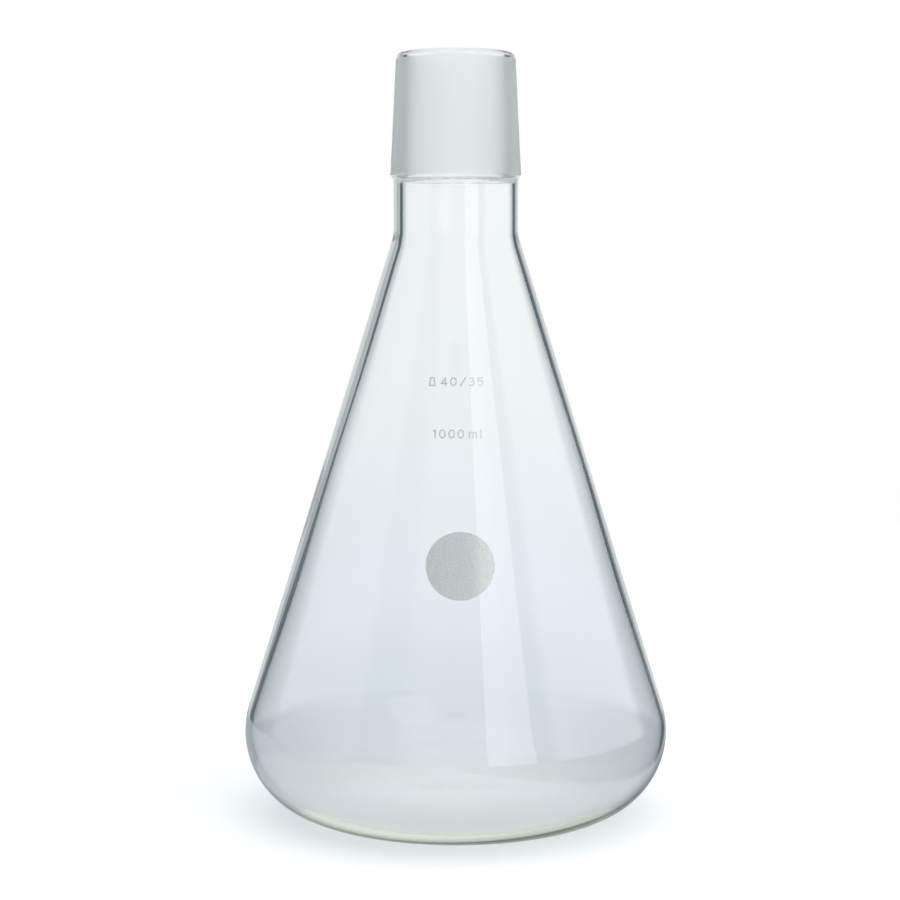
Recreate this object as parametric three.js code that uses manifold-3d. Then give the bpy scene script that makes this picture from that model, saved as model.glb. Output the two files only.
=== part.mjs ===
// A 1000 ml conical (Erlenmeyer) flask with a standard 40/35 taper joint ground on its neck.
// It is an assembly of a blown flask body, a thick joint tube sealed onto the neck, and fired enamel
// marks on the front of the cone: a round writing spot, the joint size and the capacity.
// Millimetres, +Z up, origin on the table at the middle of the base. The marks face -Y.
import * as THREE from "three";
import { mergeVertices } from "three/addons/utils/BufferGeometryUtils.js";
import Module from "manifold-3d";

// Body: outer shape.
const BODY_RADIUS = 65.5; // at the widest, level with the heel's centre
const HEEL_RADIUS = 26; // rounding between the side and the base
const SIDE_ANGLE = THREE.MathUtils.degToRad(17.3); // the side's lean from the vertical
const NECK_RADIUS = 19.1;
const NECK_BEND_REACH = 1.4; // length rounded off on each side of the corner below the neck

// Body: glass thickness and inner shape.
const SIDE_WALL = 2.6; // measured level, through the cone
const NECK_WALL = 2;
const BASE_WALL = 2.4;
const INNER_HEEL_RADIUS = 23.5;
const INNER_BEND_REACH = 2.7;
const PUSH_UP = 1.6; // how far the middle of the base is domed up
const CONTACT_RING_WIDTH = 4; // flat ring that touches the table

// Joint: the 40/35 taper is 40 mm across at its wide lower end, 35 mm long, and tapers 1:10.
const SEAL_HEIGHT = 194.4; // where the joint tube is sealed to the neck
const SEAL_GAP = 0.3; // left between the two solids, which are fused on the real flask
const GROUND_BOTTOM = 197;
const GROUND_LENGTH = 35;
const GROUND_RADIUS = 20;
const GROUND_SLOPE = 0.05; // radius lost per unit of height
const JOINT_BORE_RADIUS = 14.9;
const SHOULDER_HEIGHT = 2.8; // inner step from the joint's bore down to the wider neck
const LIP_HEIGHT = 2; // rounded lip above the ground zone
const LIP_ROUNDING = 1.3; // outer radius lost over the lip
const RIM_WIDTH = 1.1; // flat ring on top of the lip
const LIP_DRAFT = 0.1; // radius lost up the lip before it rounds over
const MOUTH_ROUNDING = 1.4; // height of the rounding from the rim into the bore
const FLARE_REACH = 0.6; // depth below the ground zone at which the seal starts to flare out

// Enamel marks.
const ENAMEL_THICKNESS = 0.12;
const ENAMEL_GAP = 0.05; // keeps the thin enamel solids clear of the body
const SPOT_RADIUS = 10;
const SPOT_HEIGHT = 83.5;
const SPOT_OFFSET = 1.2; // the spot sits a little right of the middle
const JOINT_SIZE_HEIGHT = 135.7; // middle of the line that gives the joint size
const CAPACITY_HEIGHT = 120.7; // middle of the line that gives the capacity
const DIGIT_HEIGHT = 2.7;
const DIGIT_WIDTH = 2.0;
const PEN_WIDTH = 0.4;

// Facets.
const TURN_SEGMENTS = 64; // a multiple of 4, so that the box is centred on the axis
const SPOT_SEGMENTS = 48;
const SPOT_RINGS = 5;
const ARC_STEPS = 5;
const PEN_ARC_STEPS = 10;

const heelCentre = new THREE.Vector2(BODY_RADIUS - HEEL_RADIUS, HEEL_RADIUS);

// Radius of the cone's outside at a height.
function coneRadius(height) {
  const tangent = heelCentre.x + HEEL_RADIUS / Math.cos(SIDE_ANGLE);
  return tangent - (height - heelCentre.y) * Math.tan(SIDE_ANGLE);
}

// Height at which a cone, moved in by a wall, reaches a radius.
function coneHeight(radius, wall) {
  return heelCentre.y + (coneRadius(heelCentre.y) - wall - radius) / Math.tan(SIDE_ANGLE);
}

// The point a distance down the cone's side from another.
function downTheSlope(point, distance) {
  const step = new THREE.Vector2(Math.sin(SIDE_ANGLE), -Math.cos(SIDE_ANGLE));
  return point.clone().addScaledVector(step, distance);
}

const wasm = await Module();
wasm.setup();

function toSolid(geometry) {
  const bare = geometry.clone();
  bare.deleteAttribute("normal");
  bare.deleteAttribute("uv");
  const welded = mergeVertices(bare, 1e-4);
  const vertProperties = new Float32Array(welded.attributes.position.array);
  const triVerts = new Uint32Array(welded.index.array);
  return new wasm.Manifold(new wasm.Mesh({ numProp: 3, vertProperties, triVerts }));
}

function toGeometry(solid) {
  const mesh = solid.getMesh();
  const geometry = new THREE.BufferGeometry();
  geometry.setAttribute("position", new THREE.BufferAttribute(mesh.vertProperties, 3));
  geometry.setIndex(new THREE.BufferAttribute(mesh.triVerts, 1));
  return geometry;
}

// Turns a profile of (radius, height) points about the Z axis.
function turned(profile, segments) {
  const geometry = new THREE.LatheGeometry(profile.getPoints(ARC_STEPS), segments);
  return geometry.rotateX(Math.PI / 2);
}

// The blown body: base with a slight push-up, heel, cone and neck, open at the seal.
function flaskBody() {
  const profile = new THREE.Path();
  const contactOuter = heelCentre.x;
  const contactInner = contactOuter - CONTACT_RING_WIDTH;

  // Underside, heel, side and outer bend.
  profile.moveTo(0, PUSH_UP);
  profile.bezierCurveTo(contactInner / 2, PUSH_UP, contactInner / 2, 0, contactInner, 0);
  profile.lineTo(contactOuter, 0);
  profile.absarc(heelCentre.x, heelCentre.y, HEEL_RADIUS, -Math.PI / 2, 0, false);
  const widest = new THREE.Vector2(BODY_RADIUS, heelCentre.y + HEEL_RADIUS * Math.tan(SIDE_ANGLE / 2));
  const sideFoot = downTheSlope(widest, -HEEL_RADIUS * Math.tan(SIDE_ANGLE / 2));
  profile.quadraticCurveTo(widest.x, widest.y, sideFoot.x, sideFoot.y);
  const corner = new THREE.Vector2(NECK_RADIUS, coneHeight(NECK_RADIUS, 0));
  const cornerBelow = downTheSlope(corner, NECK_BEND_REACH);
  profile.lineTo(cornerBelow.x, cornerBelow.y);
  profile.quadraticCurveTo(corner.x, corner.y, corner.x, corner.y + NECK_BEND_REACH);

  // Neck, seal face and inner bend.
  const innerNeck = NECK_RADIUS - NECK_WALL;
  profile.lineTo(NECK_RADIUS, SEAL_HEIGHT);
  profile.lineTo(innerNeck, SEAL_HEIGHT);
  const innerCorner = new THREE.Vector2(innerNeck, coneHeight(innerNeck, SIDE_WALL));
  const innerBelow = downTheSlope(innerCorner, INNER_BEND_REACH);
  profile.lineTo(innerCorner.x, innerCorner.y + INNER_BEND_REACH);
  profile.quadraticCurveTo(innerCorner.x, innerCorner.y, innerBelow.x, innerBelow.y);

  // Inner heel and floor.
  const innerHeelHeight = BASE_WALL + INNER_HEEL_RADIUS;
  const innerSide = coneRadius(innerHeelHeight) - SIDE_WALL;
  const innerHeelCentre = innerSide - INNER_HEEL_RADIUS / Math.cos(SIDE_ANGLE);
  profile.absarc(innerHeelCentre, innerHeelHeight, INNER_HEEL_RADIUS, SIDE_ANGLE, -Math.PI / 2, true);
  profile.quadraticCurveTo(innerHeelCentre / 2, BASE_WALL + PUSH_UP, 0, BASE_WALL + PUSH_UP);
  return turned(profile, TURN_SEGMENTS);
}

// The joint: a thick tube with the ground taper outside, a rounded lip and an inner shoulder.
function groundJoint() {
  const profile = new THREE.Path();
  const foot = SEAL_HEIGHT + SEAL_GAP;
  const groundTop = GROUND_BOTTOM + GROUND_LENGTH;
  const groundTopRadius = GROUND_RADIUS - GROUND_LENGTH * GROUND_SLOPE;
  const rim = groundTop + LIP_HEIGHT;
  const rimOuter = groundTopRadius - LIP_ROUNDING;
  const rimInner = rimOuter - RIM_WIDTH;
  const innerNeck = NECK_RADIUS - NECK_WALL;
  const shoulderTop = foot + SHOULDER_HEIGHT;
  const shoulderMiddle = foot + SHOULDER_HEIGHT / 2;

  profile.moveTo(innerNeck, foot);
  profile.lineTo(NECK_RADIUS, foot);
  profile.quadraticCurveTo(NECK_RADIUS, GROUND_BOTTOM - FLARE_REACH, GROUND_RADIUS, GROUND_BOTTOM);
  profile.lineTo(groundTopRadius, groundTop);
  profile.quadraticCurveTo(groundTopRadius - LIP_DRAFT, rim, rimOuter, rim);
  profile.lineTo(rimInner, rim);
  profile.quadraticCurveTo(JOINT_BORE_RADIUS, rim, JOINT_BORE_RADIUS, rim - MOUTH_ROUNDING);
  profile.lineTo(JOINT_BORE_RADIUS, shoulderTop);
  profile.bezierCurveTo(JOINT_BORE_RADIUS, shoulderMiddle, innerNeck, shoulderMiddle, innerNeck, foot);
  return turned(profile, TURN_SEGMENTS);
}

// Bends a flat solid onto the front of the cone. Its x runs round the cone, its y up the slope from
// the given height, and its z outward from the glass.
function wrapOntoCone(geometry, height) {
  const position = geometry.attributes.position;
  const point = new THREE.Vector3();
  for (let i = 0; i < position.count; i += 1) {
    point.fromBufferAttribute(position, i);
    const surfaceHeight = height + point.y * Math.cos(SIDE_ANGLE);
    const surfaceRadius = coneRadius(surfaceHeight);
    const turn = point.x / surfaceRadius;
    const lift = ENAMEL_GAP + point.z;
    const radius = surfaceRadius + lift * Math.cos(SIDE_ANGLE);
    const z = surfaceHeight + lift * Math.sin(SIDE_ANGLE);
    position.setXYZ(i, radius * Math.sin(turn), -radius * Math.cos(turn), z);
  }
  return geometry;
}

// The writing spot: a thin disc, divided into rings so that it bends smoothly.
function markingSpot() {
  const radii = Array.from({ length: SPOT_RINGS + 1 }, (_, ring) => (SPOT_RADIUS * ring) / SPOT_RINGS);
  const underside = radii.map((radius) => new THREE.Vector2(radius, 0));
  const face = radii.reverse().map((radius) => new THREE.Vector2(radius, ENAMEL_THICKNESS));
  const disc = new THREE.LatheGeometry([...underside, ...face], SPOT_SEGMENTS);
  disc.rotateX(Math.PI / 2);
  disc.translate(SPOT_OFFSET, 0, 0);
  return wrapOntoCone(disc, SPOT_HEIGHT);
}

// One straight or curved pen stroke of constant width along a run of points.
function stroke(points) {
  const half = PEN_WIDTH / 2;
  const left = [];
  const right = [];
  points.forEach((point, i) => {
    const before = points[Math.max(i - 1, 0)];
    const after = points[Math.min(i + 1, points.length - 1)];
    const along = after.clone().sub(before).normalize();
    const across = new THREE.Vector2(-along.y, along.x).multiplyScalar(half);
    left.push(point.clone().add(across));
    right.unshift(point.clone().sub(across));
  });
  const outline = new THREE.Shape([...right, ...left].reverse());
  return toSolid(new THREE.ExtrudeGeometry(outline, { depth: ENAMEL_THICKNESS, bevelEnabled: false }));
}

function line(...coordinates) {
  return stroke(coordinates.map(([x, y]) => new THREE.Vector2(x, y)));
}

// An arc of an ellipse, drawn between two angles in degrees.
function arc(x, y, radiusX, radiusY, fromDegrees, toDegrees) {
  const from = THREE.MathUtils.degToRad(fromDegrees);
  const to = THREE.MathUtils.degToRad(toDegrees);
  const curve = new THREE.EllipseCurve(x, y, radiusX, radiusY, from, to, to < from);
  return stroke(curve.getPoints(PEN_ARC_STEPS));
}

// A closed ellipse of pen width.
function ring(x, y, radiusX, radiusY) {
  const half = PEN_WIDTH / 2;
  const outline = new THREE.Shape().absellipse(x, y, radiusX + half, radiusY + half, 0, 2 * Math.PI, false);
  outline.holes.push(new THREE.Path().absellipse(x, y, radiusX - half, radiusY - half, 0, 2 * Math.PI, true));
  const options = { depth: ENAMEL_THICKNESS, bevelEnabled: false, curveSegments: PEN_ARC_STEPS };
  return toSolid(new THREE.ExtrudeGeometry(outline, options));
}

function trapezoid(topHalf, bottomHalf, halfHeight) {
  return [
    new THREE.Vector2(-bottomHalf, -halfHeight),
    new THREE.Vector2(bottomHalf, -halfHeight),
    new THREE.Vector2(topHalf, halfHeight),
    new THREE.Vector2(-topHalf, halfHeight),
  ];
}

// The sign before the joint size: the plain outline of a taper.
function taperSign() {
  const outline = new THREE.Shape(trapezoid(0.7, 1.0, DIGIT_HEIGHT / 2));
  outline.holes.push(new THREE.Path(trapezoid(0.34, 0.56, DIGIT_HEIGHT / 2 - PEN_WIDTH)));
  return toSolid(new THREE.ExtrudeGeometry(outline, { depth: ENAMEL_THICKNESS, bevelEnabled: false }));
}

// Pen strokes of each character, centred on x = 0 and y = 0. Their outer edges fill the digit box.
const top = DIGIT_HEIGHT / 2;
const bottom = -top;
const penTop = top - PEN_WIDTH / 2;
const penBottom = -penTop;
const penRight = (DIGIT_WIDTH - PEN_WIDTH) / 2;
const penLeft = -penRight;
const X_HEIGHT = 0.75 * DIGIT_HEIGHT;
const archTop = bottom + X_HEIGHT - PEN_WIDTH / 2;
const archRadius = 0.52;
const archFoot = archTop - archRadius;

const CHARACTERS = {
  taper_sign: () => [taperSign()],
  zero: () => [ring(0, 0, penRight, penTop)],
  one: () => [
    line([0.25, bottom], [0.25, top]),
    line([-0.4, 0.72], [0.3, 1.18]),
  ],
  three: () => [
    arc(-0.08, penTop - 0.55, 0.6, 0.55, 150, -90),
    arc(-0.08, penBottom + 0.62, 0.78, 0.62, 90, -155),
  ],
  four: () => [
    line([0.4, bottom], [0.4, top]),
    line([0.42, 1.12], [-0.82, -0.5]),
    line([-1, -0.55], [1, -0.55]),
  ],
  five: () => [
    line([-0.62, penTop], [0.75, penTop]),
    line([-0.5, penTop + 0.1], [-0.72, 0.02]),
    arc(-0.05, penBottom + 0.75, 0.82, 0.75, 142, -150),
  ],
  slash: () => [line([-0.8, bottom], [0.8, top])],
  m: () => [
    line([-2 * archRadius, bottom], [-2 * archRadius, bottom + X_HEIGHT]),
    arc(-archRadius, archFoot, archRadius, archRadius, 180, 0),
    line([0, bottom], [0, archFoot + 0.02]),
    arc(archRadius, archFoot, archRadius, archRadius, 180, 0),
    line([2 * archRadius, bottom], [2 * archRadius, archFoot + 0.02]),
  ],
  l: () => [line([0, bottom], [0, top])],
};

// Each character of the two lines of enamel: its node name, its shape and its middle on the line.
const JOINT_SIZE_LINE = [
  ["joint_taper_sign", "taper_sign", -7.0],
  ["joint_diameter_4", "four", -3.5],
  ["joint_diameter_0", "zero", -0.75],
  ["joint_slash", "slash", 2.05],
  ["joint_length_3", "three", 4.6],
  ["joint_length_5", "five", 7.2],
];
const CAPACITY_LINE = [
  ["capacity_1", "one", -6.35],
  ["capacity_first_0", "zero", -4.0],
  ["capacity_second_0", "zero", -1.3],
  ["capacity_third_0", "zero", 1.4],
  ["capacity_m", "m", 4.9],
  ["capacity_l", "l", 7.3],
];

function character(shape, offset, height) {
  const [first, ...rest] = CHARACTERS[shape]();
  const joined = rest.reduce((solid, next) => solid.add(next), first);
  return wrapOntoCone(toGeometry(joined).translate(offset, 0, 0), height);
}

const CLEAR_GLASS = { color: 0xe4eaeb, roughness: 0.03, metalness: 0 };
const GROUND_GLASS = { color: 0xdde3e2, roughness: 0.6, metalness: 0 };
const ENAMEL = { color: 0xc8d0cd, roughness: 0.75, metalness: 0 };

const flask = new THREE.Group();

function addPart(name, geometry, look) {
  const mesh = new THREE.Mesh(geometry, new THREE.MeshStandardMaterial(look));
  mesh.name = name;
  flask.add(mesh);
}

addPart("flask_body", flaskBody(), CLEAR_GLASS);
addPart("ground_joint", groundJoint(), GROUND_GLASS);
addPart("marking_spot", markingSpot(), ENAMEL);
for (const [name, shape, offset] of JOINT_SIZE_LINE) {
  addPart(name, character(shape, offset, JOINT_SIZE_HEIGHT), ENAMEL);
}
for (const [name, shape, offset] of CAPACITY_LINE) {
  addPart(name, character(shape, offset, CAPACITY_HEIGHT), ENAMEL);
}

export default flask;
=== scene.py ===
"""A 1000 ml conical flask with a ground 40/35 taper joint, in a plain white studio.

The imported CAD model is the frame. Fine, smooth glass shells stand for its two glass solids, and its
enamel marks keep their CAD shapes. Lengths of the flask are in millimetres. Blender and the studio
work in metres.
"""

import math

import bmesh
import bpy
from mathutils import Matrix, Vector


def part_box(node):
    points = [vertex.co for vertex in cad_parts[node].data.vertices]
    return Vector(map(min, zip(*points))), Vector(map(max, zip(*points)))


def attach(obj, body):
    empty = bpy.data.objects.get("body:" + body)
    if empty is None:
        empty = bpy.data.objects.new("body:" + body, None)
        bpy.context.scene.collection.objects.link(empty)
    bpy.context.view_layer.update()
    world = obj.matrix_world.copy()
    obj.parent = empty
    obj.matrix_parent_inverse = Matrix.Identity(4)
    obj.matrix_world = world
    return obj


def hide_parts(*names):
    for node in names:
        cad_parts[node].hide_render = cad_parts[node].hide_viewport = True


MM = 0.001

# Glass: outer shape. Radii and heights that the CAD boxes give are read from the frame below.
HEEL_RADIUS = 26.0
SIDE_ANGLE = math.radians(17.3)
NECK_RADIUS = 19.1
NECK_BEND_REACH = 1.4
PUSH_UP = 1.6
CONTACT_RING_WIDTH = 4.0

# Glass: thickness and inner shape.
SIDE_WALL = 2.6
NECK_WALL = 2.15
BASE_WALL = 2.4
INNER_HEEL_RADIUS = 23.5
INNER_BEND_REACH = 2.7
INNER_OFFSET = 0.4  # the inside sits a little off the axis, as blown glass does
UNEVENNESS = 0.08  # how far the inside wanders from a true surface
THICKENING = 0.2  # the side is this much thicker ...
THICKEST_HEIGHT = 150.0  # ... at this height ...
THICK_HEIGHTS = 80.0  # ... and again at every such step from it
MEAN_HEIGHT = 100.0  # height where the side has its mean thickness ...
THICKENING_PER_HEIGHT = 0.005  # ... and how fast it gets thicker upwards
FULL_UNEVENNESS_RADIUS = 30.0  # nearer the axis there is less unevenness, in proportion
WAVE_RISE = 60.0  # height over which the waves below turn by their twist
WALL_WAVES = (  # each a share of the unevenness, waves round the axis, twist and start in radians
    (0.5, 2, 1.3, 0.4),
    (0.3, 3, -1.9, 2.1),
    (0.2, 7, 2.3, 5.0),
)
RIPPLE_HEIGHT = 0.015  # faint rings in the inner floor ...
RIPPLE_REACH = 34.0  # ... which fade out at this radius
WIDE_RIPPLE = 2.1  # radius to a radian of the wider rings ...
NARROW_RIPPLE = 1.3  # ... and of the narrower ones ...
NARROW_RIPPLE_START = 1.0  # ... which start at this angle

# Joint: a 40/35 taper, ground outside.
GROUND_BOTTOM = 197.0
GROUND_LENGTH = 35.0
GROUND_SLOPE = 0.05
GROUND_RADIUS = 20.0
JOINT_BORE_RADIUS = 14.9
SHOULDER_HEIGHT = 2.8
LIP_ROUNDING = 1.3
RIM_WIDTH = 1.1
LIP_DRAFT = 0.1  # radius lost up the lip before it rounds over
MOUTH_ROUNDING = 1.4
FLARE_REACH = 0.6  # depth below the ground zone at which the seal starts to flare out
SEAL_SLIT = 0.02  # left between body and joint, which are fused on the real flask

# Fineness of the meshes.
TURN_SEGMENTS = 288  # a multiple of 4, so that the widest points lie on the box
ARC_STEPS = 28
HEEL_TOP_STEPS = 6
CONTACT_STEPS = 2
SIDE_STEPS = 48
NECK_STEPS = 8
BORE_STEPS = 12
GROUND_STEPS = 10
ON_AXIS = 1e-6  # a smaller radius is the axis itself
INNER, OUTER = True, False  # kinds of surface
CLEAR, GROUND = 0, 1  # places of the materials on a shell

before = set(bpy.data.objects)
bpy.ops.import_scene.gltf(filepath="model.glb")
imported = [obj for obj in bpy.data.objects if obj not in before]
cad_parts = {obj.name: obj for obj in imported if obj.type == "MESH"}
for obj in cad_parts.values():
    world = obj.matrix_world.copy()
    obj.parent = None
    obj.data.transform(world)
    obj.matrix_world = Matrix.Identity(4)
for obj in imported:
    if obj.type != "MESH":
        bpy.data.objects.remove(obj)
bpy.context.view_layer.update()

body_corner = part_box("flask_body")[1]
joint_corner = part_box("ground_joint")[1]
BODY_RADIUS = body_corner.x / MM
SEAL_HEIGHT = body_corner.z / MM
RIM_HEIGHT = joint_corner.z / MM


# ---------------------------------------------------------------------------------------------
# Profiles: lists of (radius, height), in millimetres
# ---------------------------------------------------------------------------------------------

def arc(centre, radius, start, end, steps=ARC_STEPS):
    """Points on an arc between two angles, which are measured from the level outward direction."""
    turns = [start + (end - start) * i / steps for i in range(steps + 1)]
    return [(centre[0] + radius * math.cos(t), centre[1] + radius * math.sin(t)) for t in turns]


def bend(*controls, steps=ARC_STEPS // 2):
    """Points on the Bezier curve with the given control points."""
    degree = len(controls) - 1
    points = []
    for i in range(steps + 1):
        t = i / steps
        weights = [math.comb(degree, k) * (1 - t) ** (degree - k) * t ** k for k in range(degree + 1)]
        points.append(tuple(sum(w * p[axis] for w, p in zip(weights, controls)) for axis in (0, 1)))
    return points


def straight(start, end, steps=1):
    """Points on a straight stretch."""
    return [
        tuple(start[k] + (end[k] - start[k]) * i / steps for k in (0, 1))
        for i in range(steps + 1)
    ]


def joined(*stretches):
    """One list of points, without the doubled points where two stretches meet."""
    points = list(stretches[0])
    for stretch in stretches[1:]:
        points += stretch[1:]
    return points


def down_the_slope(point, distance):
    """The point that lies a distance further down the cone's side."""
    return (point[0] + distance * math.sin(SIDE_ANGLE), point[1] - distance * math.cos(SIDE_ANGLE))


heel_centre = (BODY_RADIUS - HEEL_RADIUS, HEEL_RADIUS)


def cone_radius(height):
    """Outer radius of the cone at a height."""
    tangent = heel_centre[0] + HEEL_RADIUS / math.cos(SIDE_ANGLE)
    return tangent - (height - heel_centre[1]) * math.tan(SIDE_ANGLE)


def cone_height(radius, wall):
    """Height at which the cone, moved in by a wall, reaches a radius."""
    return heel_centre[1] + (cone_radius(heel_centre[1]) - wall - radius) / math.tan(SIDE_ANGLE)


def body_outside():
    """From the middle of the underside out and up to the seal."""
    contact_outer = (heel_centre[0], 0.0)
    contact_inner = (heel_centre[0] - CONTACT_RING_WIDTH, 0.0)
    half_way = contact_inner[0] / 2
    corner = (NECK_RADIUS, cone_height(NECK_RADIUS, 0))
    below = down_the_slope(corner, NECK_BEND_REACH)
    above = (corner[0], corner[1] + NECK_BEND_REACH)
    heel_top = arc(heel_centre, HEEL_RADIUS, 0, SIDE_ANGLE, HEEL_TOP_STEPS)
    return joined(
        bend((0.0, PUSH_UP), (half_way, PUSH_UP), (half_way, 0.0), contact_inner, steps=2 * ARC_STEPS),
        straight(contact_inner, contact_outer, CONTACT_STEPS),
        arc(heel_centre, HEEL_RADIUS, -math.pi / 2, 0),
        heel_top,
        straight(heel_top[-1], below, SIDE_STEPS),
        bend(below, corner, above),
        straight(above, (NECK_RADIUS, SEAL_HEIGHT), NECK_STEPS),
    )


def body_inside():
    """From the seal down and in to the middle of the floor."""
    radius = NECK_RADIUS - NECK_WALL
    corner = (radius, cone_height(radius, SIDE_WALL))
    below = down_the_slope(corner, INNER_BEND_REACH)
    above = (radius, corner[1] + INNER_BEND_REACH)
    heel_height = BASE_WALL + INNER_HEEL_RADIUS
    heel_middle = cone_radius(heel_height) - SIDE_WALL - INNER_HEEL_RADIUS / math.cos(SIDE_ANGLE)
    heel = arc((heel_middle, heel_height), INNER_HEEL_RADIUS, SIDE_ANGLE, -math.pi / 2)
    half_way = heel_middle / 2
    domed = BASE_WALL + PUSH_UP
    return joined(
        straight((radius, SEAL_HEIGHT), above, NECK_STEPS),
        bend(above, corner, below),
        straight(below, heel[0], SIDE_STEPS),
        heel,
        bend(heel[-1], (half_way, BASE_WALL), (half_way, domed), (0.0, domed), steps=3 * ARC_STEPS),
    )


# ---------------------------------------------------------------------------------------------
# Turned meshes
# ---------------------------------------------------------------------------------------------

def wander(turn, height):
    """Smooth unevenness of a blown surface, between about -1 and 1."""
    rise = height / WAVE_RISE
    return sum(
        share * math.sin(waves * turn + twist * rise + start)
        for share, waves, twist, start in WALL_WAVES
    )


def thickening(height):
    """Extra thickness of the blown side, which comes and goes with height and grows upwards."""
    wave = math.cos(2 * math.pi * (height - THICKEST_HEIGHT) / THICK_HEIGHTS)
    return THICKENING * wave + THICKENING_PER_HEIGHT * (height - MEAN_HEIGHT)


def ripple(radius, height):
    """Rings left in the inner floor, which fade out towards the heel."""
    if height > BASE_WALL + INNER_HEEL_RADIUS / 2:
        return 0.0
    fade = math.exp(-((radius / RIPPLE_REACH) ** 4))
    wide = math.cos(radius / WIDE_RIPPLE)
    narrow = math.cos(radius / NARROW_RIPPLE + NARROW_RIPPLE_START)
    return RIPPLE_HEIGHT * fade * (wide + narrow) / 2


def new_object(name, mesh):
    """A scene object from a bmesh, which is used up."""
    data = bpy.data.meshes.new(name)
    mesh.to_mesh(data)
    mesh.free()
    piece = bpy.data.objects.new(name, data)
    bpy.context.scene.collection.objects.link(piece)
    return piece


def turned(name, runs, inner_share):
    """A closed mesh turned about Z from runs of (points, place of the material, kind of surface).

    Edges between runs stay sharp. inner_share(height) says how much of the inner offset applies.
    """
    mesh = bmesh.new()
    rings = {}

    def ring(point, inner):
        key = (round(point[0], 6), round(point[1], 6))
        if key in rings:
            return rings[key]
        radius, height = point
        share = inner_share(height) if inner else 0.0
        lift = ripple(radius, height) if inner else 0.0
        if radius < ON_AXIS:
            spot = Vector((INNER_OFFSET * share, 0, height + lift)) * MM
            rings[key] = [mesh.verts.new(spot)]
            return rings[key]
        verts = []
        for i in range(TURN_SEGMENTS):
            turn = 2 * math.pi * i / TURN_SEGMENTS
            uneven = UNEVENNESS * wander(turn, height) - thickening(height)
            reach = radius + uneven * share * min(1.0, radius / FULL_UNEVENNESS_RADIUS)
            x = reach * math.sin(turn) + INNER_OFFSET * share
            y = -reach * math.cos(turn)
            verts.append(mesh.verts.new(Vector((x, y, height + lift)) * MM))
        rings[key] = verts
        return verts

    for points, material, inner in runs:
        before = ring(points[0], inner)
        for point in points[1:]:
            after = ring(point, inner)
            for i in range(TURN_SEGMENTS):
                j = (i + 1) % TURN_SEGMENTS
                if len(before) == 1:
                    face = mesh.faces.new((before[0], after[j], after[i]))
                elif len(after) == 1:
                    face = mesh.faces.new((before[i], before[j], after[0]))
                else:
                    face = mesh.faces.new((before[i], before[j], after[j], after[i]))
                face.material_index = material
                face.smooth = True
            before = after
    for points, _, inner in runs:
        for end in (points[0], points[-1]):
            verts = ring(end, inner)
            if len(verts) == 1:
                continue
            for i in range(TURN_SEGMENTS):
                edge = mesh.edges.get((verts[i], verts[(i + 1) % TURN_SEGMENTS]))
                edge.smooth = False

    bmesh.ops.recalc_face_normals(mesh, faces=mesh.faces)
    return new_object(name, mesh)


# ---------------------------------------------------------------------------------------------
# Materials
# ---------------------------------------------------------------------------------------------

GLASS_IOR = 1.474
GLASS_TINT = (0.62, 0.74, 0.68)
GLASS_DENSITY = 6.0  # per metre
ENAMEL_IOR = 1.7


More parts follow.
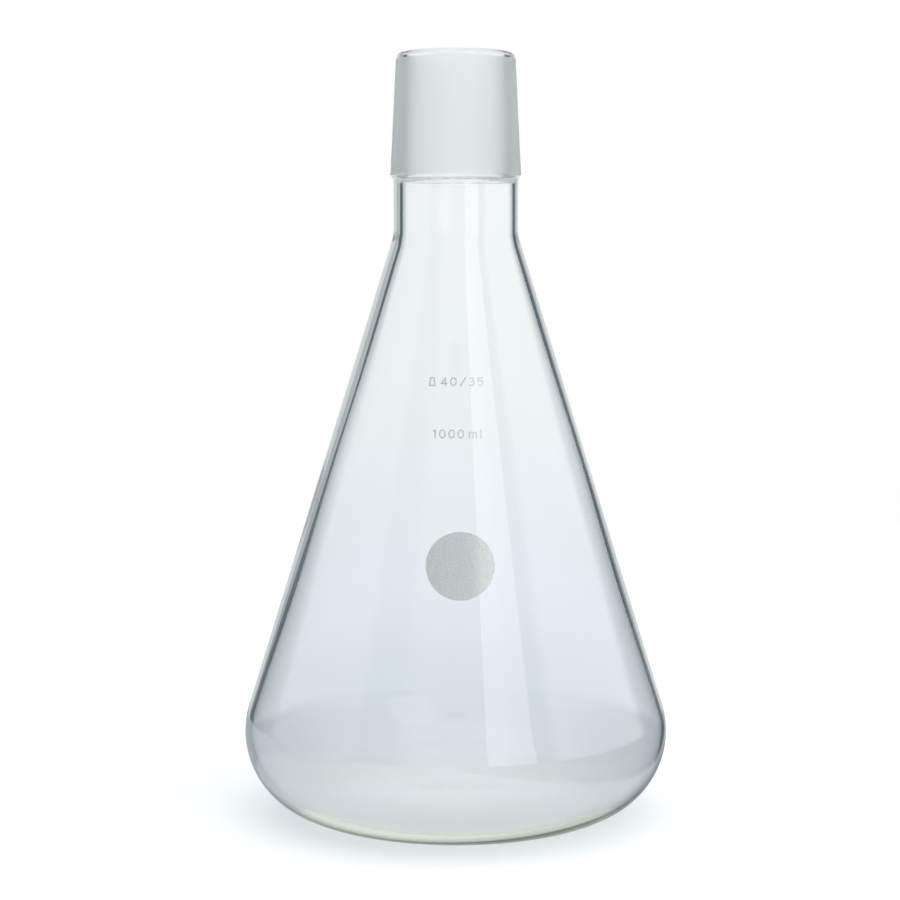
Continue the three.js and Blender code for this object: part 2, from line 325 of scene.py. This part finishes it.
class Nodes:
    """Builds the nodes of one material or world."""

    def __init__(self, tree):
        self.nodes, self.links = tree.nodes, tree.links

    def plug(self, socket, value):
        """Gives an input a plain value, or the output of another node."""
        if isinstance(value, bpy.types.NodeSocket):
            self.links.new(value, socket)
        elif isinstance(value, tuple) and len(socket.default_value) == 4:
            socket.default_value = (*value, 1)
        else:
            socket.default_value = value

    def calculate(self, operation, *values):
        """The result of one Math node."""
        node = self.nodes.new("ShaderNodeMath")
        node.operation = operation
        for socket, value in zip(node.inputs, values):
            self.plug(socket, value)
        return node.outputs[0]

    def product(self, *shares):
        result = shares[0]
        for share in shares[1:]:
            result = self.calculate("MULTIPLY", result, share)
        return result

    def step(self, value, start, end, low=0.0, high=1.0):
        """Goes smoothly from low at start to high at end."""
        node = self.nodes.new("ShaderNodeMapRange")
        node.interpolation_type = "SMOOTHSTEP"
        if start > end:
            start, end, low, high = end, start, high, low
        for name, number in (("From Min", start), ("From Max", end), ("To Min", low), ("To Max", high)):
            node.inputs[name].default_value = number
        self.plug(node.inputs["Value"], value)
        return node.outputs["Result"]

    def mix(self, factor, first, second):
        """A colour that goes from the first to the second as the factor goes from 0 to 1."""
        node = self.nodes.new("ShaderNodeMix")
        node.data_type = "RGBA"
        self.plug(node.inputs[0], factor)
        self.plug(node.inputs[6], first)
        self.plug(node.inputs[7], second)
        return node.outputs[2]

    def layered(self, colour, *zones):
        """A colour with others laid over it in turn: each zone is a colour and shares to multiply."""
        for zone_colour, *shares in zones:
            colour = self.mix(self.product(*shares), colour, zone_colour)
        return colour

    def noise(self, scale, detail=2.0, stretch=(1, 1, 1)):
        """Noise in the object's own space; scale is in features per metre."""
        place = self.nodes.new("ShaderNodeMapping")
        self.links.new(self.nodes.new("ShaderNodeTexCoord").outputs["Object"], place.inputs["Vector"])
        place.inputs["Scale"].default_value = stretch
        texture = self.nodes.new("ShaderNodeTexNoise")
        texture.inputs["Scale"].default_value = scale
        texture.inputs["Detail"].default_value = detail
        self.links.new(place.outputs["Vector"], texture.inputs["Vector"])
        return texture.outputs["Fac"]

    def bump(self, height, distance, strength, before=None):
        """A normal bumped by a height, on top of another bump if one is given."""
        node = self.nodes.new("ShaderNodeBump")
        node.inputs["Distance"].default_value = distance
        node.inputs["Strength"].default_value = strength
        self.links.new(height, node.inputs["Height"])
        if before is not None:
            self.links.new(before, node.inputs["Normal"])
        return node.outputs["Normal"]

    def position(self):
        """The x, y and z of the shaded point."""
        place = self.nodes.new("ShaderNodeSeparateXYZ")
        self.links.new(self.nodes.new("ShaderNodeNewGeometry").outputs["Position"], place.inputs[0])
        return place.outputs

    def light_path(self, kind):
        """What kind of ray is being shaded, or how many bounces it has behind it."""
        return self.nodes.new("ShaderNodeLightPath").outputs[kind]


def new_material(name):
    """A material, its node builder, and the sockets of its Principled shader."""
    material = bpy.data.materials.new(name)
    material.use_nodes = True
    return material, Nodes(material.node_tree), material.node_tree.nodes["Principled BSDF"].inputs


def fill_with_glass(material):
    """Lets the glass take up a little light with depth, green least."""
    nodes, links = material.node_tree.nodes, material.node_tree.links
    volume = nodes.new("ShaderNodeVolumeAbsorption")
    volume.inputs["Color"].default_value = (*GLASS_TINT, 1)
    volume.inputs["Density"].default_value = GLASS_DENSITY
    links.new(volume.outputs["Volume"], nodes["Material Output"].inputs["Volume"])


def clear_glass(name):
    """Smooth blown glass with faint clouding and long, shallow waves."""
    material, make, shader = new_material(name)
    shader["Transmission Weight"].default_value = 1.0
    shader["IOR"].default_value = GLASS_IOR
    cloud = make.noise(35.0)
    make.plug(shader["Base Color"], make.mix(cloud, (0.99, 0.995, 0.995), (1.0, 1.0, 1.0)))
    make.plug(shader["Roughness"], make.step(cloud, 0.4, 0.7, low=0.0, high=0.012))
    waves = make.noise(22.0, detail=1.0)
    make.plug(shader["Normal"], make.bump(waves, distance=0.02 * MM, strength=0.6))
    return material


def ground_glass():
    """The ground taper: fine grit scratches round the joint under an even frost."""
    material, make, shader = new_material("ground_borosilicate")
    shader["Transmission Weight"].default_value = 0.88
    shader["IOR"].default_value = GLASS_IOR
    cloud = make.noise(60.0)
    make.plug(shader["Base Color"], make.mix(cloud, (0.975, 0.995, 0.98), (0.99, 1.0, 0.995)))
    make.plug(shader["Roughness"], make.step(cloud, 0.3, 0.7, low=0.54, high=0.60))
    grit = make.noise(4200.0)
    rings = make.noise(220.0, detail=3.0, stretch=(0.15, 0.15, 8.0))
    gritty = make.bump(grit, distance=0.02 * MM, strength=0.3)
    make.plug(shader["Normal"], make.bump(rings, distance=0.01 * MM, strength=0.3, before=gritty))
    return material


def enamel():
    """Fired enamel: slightly glossy, speckled like fine sand."""
    material, make, shader = new_material("fired_enamel")
    speckle = make.noise(3200.0, detail=3.0)
    grain = make.step(speckle, 0.35, 0.65)
    make.plug(shader["Base Color"], make.mix(grain, (0.65, 0.72, 0.69), (0.89, 0.95, 0.92)))
    make.plug(shader["Roughness"], make.step(speckle, 0.35, 0.65, low=0.28, high=0.18))
    shader["IOR"].default_value = ENAMEL_IOR
    shader["Specular IOR Level"].default_value = 1.0
    make.plug(shader["Normal"], make.bump(speckle, distance=0.01 * MM, strength=0.2))
    return material


# ---------------------------------------------------------------------------------------------
# The flask
# ---------------------------------------------------------------------------------------------

def make_body(material):
    """The blown body, with the inner offset and unevenness at every height."""
    outside, inside = body_outside(), body_inside()
    seal_face = straight(outside[-1], inside[0])
    piece = turned(
        "flask_body_glass",
        [(inside, CLEAR, INNER), (outside, CLEAR, OUTER), (seal_face, CLEAR, OUTER)],
        lambda height: 1.0,
    )
    piece.data.materials.append(material)
    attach(piece, "root")
    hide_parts("flask_body")


def make_joint(clear, ground):
    """The joint tube. Its inside meets the body's at the seal and is true above the shoulder."""
    foot = SEAL_HEIGHT + SEAL_SLIT
    ground_foot = (GROUND_RADIUS, GROUND_BOTTOM)
    ground_top = (GROUND_RADIUS - GROUND_LENGTH * GROUND_SLOPE, GROUND_BOTTOM + GROUND_LENGTH)
    rim_outer = (ground_top[0] - LIP_ROUNDING, RIM_HEIGHT)
    rim_inner = (rim_outer[0] - RIM_WIDTH, RIM_HEIGHT)
    bore_top = (JOINT_BORE_RADIUS, RIM_HEIGHT - MOUTH_ROUNDING)
    shoulder = (JOINT_BORE_RADIUS, foot + SHOULDER_HEIGHT)
    middle = foot + SHOULDER_HEIGHT / 2
    neck_inner = (NECK_RADIUS - NECK_WALL, foot)
    flare = bend((NECK_RADIUS, foot), (NECK_RADIUS, GROUND_BOTTOM - FLARE_REACH), ground_foot)
    lip = joined(
        bend(ground_top, (ground_top[0] - LIP_DRAFT, RIM_HEIGHT), rim_outer),
        straight(rim_outer, rim_inner),
        bend(rim_inner, (JOINT_BORE_RADIUS, RIM_HEIGHT), bore_top),
    )
    bore = joined(
        straight(bore_top, shoulder, BORE_STEPS),
        bend(shoulder, (JOINT_BORE_RADIUS, middle), (neck_inner[0], middle), neck_inner),
    )
    piece = turned(
        "ground_joint_glass",
        [
            (joined(lip, bore), CLEAR, INNER),
            (straight(neck_inner, (NECK_RADIUS, foot)), CLEAR, OUTER),
            (flare, CLEAR, OUTER),
            (straight(ground_foot, ground_top, GROUND_STEPS), GROUND, OUTER),
        ],
        lambda height: max(0.0, 1.0 - (height - foot) / SHOULDER_HEIGHT),
    )
    piece.data.materials.append(clear)
    piece.data.materials.append(ground)
    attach(piece, "root")
    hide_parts("ground_joint")


def paint_marks(material):
    """The enamel marks are the CAD nodes other than the two glass ones."""
    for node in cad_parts.values():
        if node.name in ("flask_body", "ground_joint"):
            continue
        node.data.materials.clear()
        node.data.materials.append(material)


# ---------------------------------------------------------------------------------------------
# Studio
# ---------------------------------------------------------------------------------------------

CAMERA_PLACE = (-1.76, -645.0, 168.15)  # in millimetres
CAMERA_TILT = math.radians(4.9)
CAMERA_LENS = 83.7
CAMERA_SENSOR = 36.0


def make_camera():
    data = bpy.data.cameras.new("camera")
    data.lens = CAMERA_LENS
    data.sensor_width = CAMERA_SENSOR
    camera = bpy.data.objects.new("camera", data)
    camera.location = Vector(CAMERA_PLACE) * MM
    camera.rotation_euler = (math.pi / 2 - CAMERA_TILT, 0, 0)
    bpy.context.scene.collection.objects.link(camera)
    bpy.context.scene.camera = camera


def add_stage(name, mesh):
    """A studio object, which is not part of the flask."""
    piece = new_object(name, mesh)
    return piece


# Light that reaches the studio through the flask. Crossing a wall takes two passes through glass
# surfaces, and crossing the whole flask takes four or more.
WALL_PASSES = 2.0
# Painted shade: the share of glow left for light that has skimmed through only one wall.
PAINTED_EDGE_SHADE_SHARE = 0.66
BLACK = (0.0, 0.0, 0.0)
AROUND = (0.81, 0.86, 0.89)  # what light that has crossed the flask sees of the room


def crossing(make):
    """1 for light that has crossed the whole flask, else 0."""
    return make.step(make.light_path("Transmission Depth"), 3.4, 3.6)


def painted_edge_shade(make, spared):
    """Share of light left: painted shade, which dims what light sees when it only skims through one wall,
    at the flask's edge.
    """
    from_one_wall = make.calculate("SUBTRACT", make.light_path("Transmission Depth"), WALL_PASSES)
    from_one_wall = make.calculate("ABSOLUTE", from_one_wall)
    share = make.step(from_one_wall, 1.4, 1.6, low=PAINTED_EDGE_SHADE_SHARE, high=1.0)
    return make.calculate("MAXIMUM", share, spared)


FLOOR_RADIUS = 0.8
FLOOR_SEGMENTS = 128
FLOOR_DROP = 0.05 * MM
SIDES_SLANT = 0.25  # the sides of the flask are seen ever further out towards the back

# The table seen directly: its own colour, and the light from below.
TABLE_COLOUR = (0.78, 0.78, 0.78)
TABLE_GLOW = (0.46, 0.485, 0.505)

# The table as glass shows it: nearly black itself, with light and shade painted into its glow by zone.
TABLE_UNDER_GLOW = (0.05, 0.05, 0.05)
# Painted shade at the front, a painted pool of light under the flask, a painted shadow of the flask behind
# it and painted shade at the sides; further out the painted shadow fades.
FRONT_TABLE_SHADE = (0.50, 0.575, 0.565)
MIDDLE_TABLE_LIGHT = (0.71, 0.76, 0.76)
BACK_TABLE_SHADOW = (0.64, 0.71, 0.75)
SIDE_TABLE_SHADE = (0.42, 0.46, 0.50)
FOOT_GLINT_PAINTED = (0.72, 0.80, 0.70)
RIGHT_PAINTED_DARK = (0.06, 0.08, 0.10)
BEHIND_PAINTED_DARK = (0.085, 0.11, 0.13)
FAR_TABLE = (0.66, 0.73, 0.77)
TABLE_END = (0.76, 0.81, 0.84)


def painted_table_through_glass(make):
    """The table's glow for light that comes through glass, with light and shade painted in by zone.

    It is darker and greener at the front, as painted shade, lighter under the flask, as a painted pool of
    light, darker behind it, as a painted shadow of the flask, greyer at the sides of the flask, as painted
    shade, and light all round further out, where the painted shadow fades. Light that has crossed only one
    wall shows a painted yellow-green glint at the front of the foot, and painted dark patches behind the
    backdrop and far right, which give the glass dark edge lines. Each step says where a zone starts and
    where it is full.
    """
    x, y, _ = make.position()
    aside = make.calculate("ABSOLUTE", x)
    aside = make.calculate("SUBTRACT", aside, make.calculate("MULTIPLY", y, SIDES_SLANT))
    reach = make.calculate("MULTIPLY_ADD", x, x, make.calculate("MULTIPLY", y, y))
    reach = make.calculate("SQRT", reach)
    crossed = crossing(make)
    one_wall = make.calculate("SUBTRACT", 1.0, crossed)
    # A ring round the foot where a painted yellow-green glint goes.
    foot_glint_ring = make.product(make.step(reach, 0.037, 0.041), make.step(reach, 0.058, 0.056))
    far_colour = make.mix(make.step(reach, 0.25, FLOOR_RADIUS), FAR_TABLE, TABLE_END)
    # Painted light and shade, laid zone by zone over the table's glow.
    shown = make.layered(
        FRONT_TABLE_SHADE,
        (MIDDLE_TABLE_LIGHT, make.step(y, -0.05, 0.015)),
        (BACK_TABLE_SHADOW, make.step(y, 0.03, 0.08)),
        (SIDE_TABLE_SHADE, make.step(aside, -0.02, 0.09), make.step(y, -0.04, 0.0)),
        # Painted glint: yellow-green at the front of the foot, for light through one wall.
        (FOOT_GLINT_PAINTED, foot_glint_ring, make.step(y, -0.015, -0.025), one_wall),
        # Painted dark patches far right and behind the backdrop, which give the glass its dark edge lines.
        (RIGHT_PAINTED_DARK, make.step(aside, 0.082, 0.090), make.step(x, 0.0, 0.01), one_wall),
        (BEHIND_PAINTED_DARK, make.step(y, 0.21, 0.26), one_wall),
        (far_colour, make.step(reach, 0.16, 0.21), crossed),
    )
    # Painted shade at the flask's edge, for light that has skimmed through only one wall.
    return make.mix(painted_edge_shade(make, make.step(y, 0.05, 0.02)), BLACK, shown)


def make_floor():
    """A translucent pale table, lit a little from below. Seen directly it is lighter than through glass."""
    mesh = bmesh.new()
    bmesh.ops.create_circle(mesh, cap_ends=True, segments=FLOOR_SEGMENTS, radius=FLOOR_RADIUS)
    floor = add_stage("floor", mesh)
    floor.location.z = -FLOOR_DROP

    material, make, shader = new_material("studio_floor")
    direct = make.light_path("Is Camera Ray")
    make.plug(shader["Base Color"], make.mix(direct, TABLE_UNDER_GLOW, TABLE_COLOUR))
    # Glass sees the table's painted light and shade; the camera sees its even glow.
    lit = make.mix(direct, painted_table_through_glass(make), TABLE_GLOW)
    make.plug(shader["Emission Color"], lit)
    shader["Emission Strength"].default_value = 1.0
    shader["Roughness"].default_value = 0.9
    shader["Specular IOR Level"].default_value = 0.0
    floor.data.materials.append(material)


BACKDROP_DISTANCE = 0.205
BACKDROP_OUTLINE = (
    (-0.158, 0.0), (0.150, 0.0), (0.157, 0.06), (0.142, 0.10),
    (0.142, 0.6), (-0.188, 0.6), (-0.188, 0.20), (-0.168, 0.13),
)
BACKDROP_FOOT = (0.72, 0.79, 0.85)
BACKDROP_LOW = (0.81, 0.88, 0.94)
BACKDROP_HIGH = (0.93, 0.955, 0.965)
BACKDROP_SIDES = (0.73, 0.77, 0.79)


def make_backdrop():
    """A narrow lit sheet close behind the flask, which only glass and gloss show."""
    mesh = bmesh.new()
    mesh.faces.new([mesh.verts.new((x, BACKDROP_DISTANCE, z)) for x, z in BACKDROP_OUTLINE])
    backdrop = add_stage("backdrop", mesh)
    backdrop.visible_camera = False
    backdrop.visible_diffuse = False
    backdrop.visible_shadow = False

    material, make, shader = new_material("lit_backdrop")
    x, _, z = make.position()
    glow = make.layered(
        BACKDROP_FOOT,
        (BACKDROP_LOW, make.step(z, 0.0, 0.05)),
        (BACKDROP_HIGH, make.step(z, 0.0, 0.16)),
        (BACKDROP_SIDES, make.step(make.calculate("ABSOLUTE", x), 0.08, 0.11)),
    )
    # Painted shade at the flask's edge, for light that has skimmed through only one wall.
    share = painted_edge_shade(make, make.step(z, 0.20, 0.23))
    make.plug(shader["Emission Color"], make.mix(share, BLACK, glow))
    make.plug(shader["Base Color"], BLACK)
    shader["Specular IOR Level"].default_value = 0.0
    shader["Emission Strength"].default_value = 1.0
    backdrop.data.materials.append(material)


STRIP_AZIMUTH = math.radians(29)
STRIP_DISTANCE = 1.2
STRIP_WIDTH, STRIP_HEIGHT = 0.55, 1.25
STRIP_RADIANCE = 1.5
STRIP_SHARE_THROUGH_GLASS = 0.35


def make_strip_light():
    """The tall softbox at the right front, whose reflection runs down the right of the middle."""
    data = bpy.data.lights.new("strip_softbox", "AREA")
    data.shape = "RECTANGLE"
    data.size, data.size_y = STRIP_WIDTH, STRIP_HEIGHT
    data.energy = math.pi * STRIP_WIDTH * STRIP_HEIGHT * STRIP_RADIANCE
    data.use_nodes = True
    make = Nodes(data.node_tree)
    passes = make.light_path("Transmission Depth")
    strength = make.step(passes, 0.4, 0.6, low=1.0, high=STRIP_SHARE_THROUGH_GLASS)
    make.plug(data.node_tree.nodes["Emission"].inputs["Strength"], strength)
    light = bpy.data.objects.new("strip_softbox", data)
    aside = Vector((math.sin(STRIP_AZIMUTH), -math.cos(STRIP_AZIMUTH), 0))
    light.location = aside * STRIP_DISTANCE + Vector((0, 0, STRIP_HEIGHT / 2))
    light.rotation_euler = (-aside).to_track_quat("-Z", "Y").to_euler()
    bpy.context.scene.collection.objects.link(light)


# World, in compass angles and elevations in degrees.
DARK_WALL = (0.075, 0.105, 0.125)
LEFT_OPENING = (0.80, 0.83, 0.84)
LEFT_OPENING_MIDDLE = -90
RIGHT_OPENING = (0.85, 0.87, 0.88)
RIGHT_OPENING_MIDDLE = 92
FRONT_WALL = (0.45, 0.46, 0.47)
CEILING = (1.2, 1.2, 1.2)
WHITE = (1.0, 1.0, 1.0)


def degrees_from(make, azimuth, middle):
    """How far a compass angle is from a middle one, both from +Y towards +X, for middles under 180."""
    away = make.calculate("SUBTRACT", azimuth, math.radians(middle))
    return make.calculate("DEGREES", make.calculate("ABSOLUTE", away))


def make_world():
    """White for the camera. Otherwise a light ceiling, and dark walls with light openings.

    Light that has crossed the whole flask sees light walls all round, so the glass is clear from any side.
    """
    world = bpy.data.worlds.new("studio")
    world.use_nodes = True
    bpy.context.scene.world = world
    world.node_tree.nodes.clear()
    make = Nodes(world.node_tree)
    direction = make.nodes.new("ShaderNodeSeparateXYZ")
    make.plug(direction.inputs[0], make.nodes.new("ShaderNodeTexCoord").outputs["Generated"])
    x, y, z = direction.outputs
    azimuth = make.calculate("ARCTAN2", x, y)
    from_back = make.calculate("DEGREES", make.calculate("ABSOLUTE", azimuth))
    elevation = make.calculate("DEGREES", make.calculate("ARCSINE", z))

    left = make.step(degrees_from(make, azimuth, LEFT_OPENING_MIDDLE), 36, 26)
    right = make.step(degrees_from(make, azimuth, RIGHT_OPENING_MIDDLE), 38, 28)
    room = make.layered(
        DARK_WALL,
        (LEFT_OPENING, left, make.light_path("Is Transmission Ray")),
        (RIGHT_OPENING, right),
        (FRONT_WALL, make.step(from_back, 140, 160)),
        (AROUND, crossing(make)),
        (AROUND, make.step(elevation, -6, -10)),
        (CEILING, make.step(elevation, 30, 60)),
    )

    shaders = []
    for colour in (room, WHITE):
        background = make.nodes.new("ShaderNodeBackground")
        make.plug(background.inputs["Color"], colour)
        shaders.append(background.outputs[0])
    choose = make.nodes.new("ShaderNodeMixShader")
    make.plug(choose.inputs["Fac"], make.light_path("Is Camera Ray"))
    for socket, shader in zip(choose.inputs[1:], shaders):
        make.plug(socket, shader)
    output = make.nodes.new("ShaderNodeOutputWorld")
    make.plug(output.inputs["Surface"], choose.outputs[0])


GLASS_BOUNCES = 24
GLOSS_BOUNCES = 12


def set_look():
    """Plain colours, and enough bounces for light to cross every glass surface."""
    scene = bpy.context.scene
    scene.view_settings.view_transform = "Standard"
    scene.cycles.max_bounces = GLASS_BOUNCES
    scene.cycles.transmission_bounces = GLASS_BOUNCES
    scene.cycles.glossy_bounces = GLOSS_BOUNCES


make_camera()
body_glass = clear_glass("clear_borosilicate")
fill_with_glass(body_glass)
make_body(body_glass)
make_joint(clear_glass("joint_borosilicate"), ground_glass())
paint_marks(enamel())
make_floor()
make_backdrop()
make_strip_light()
make_world()
set_look()
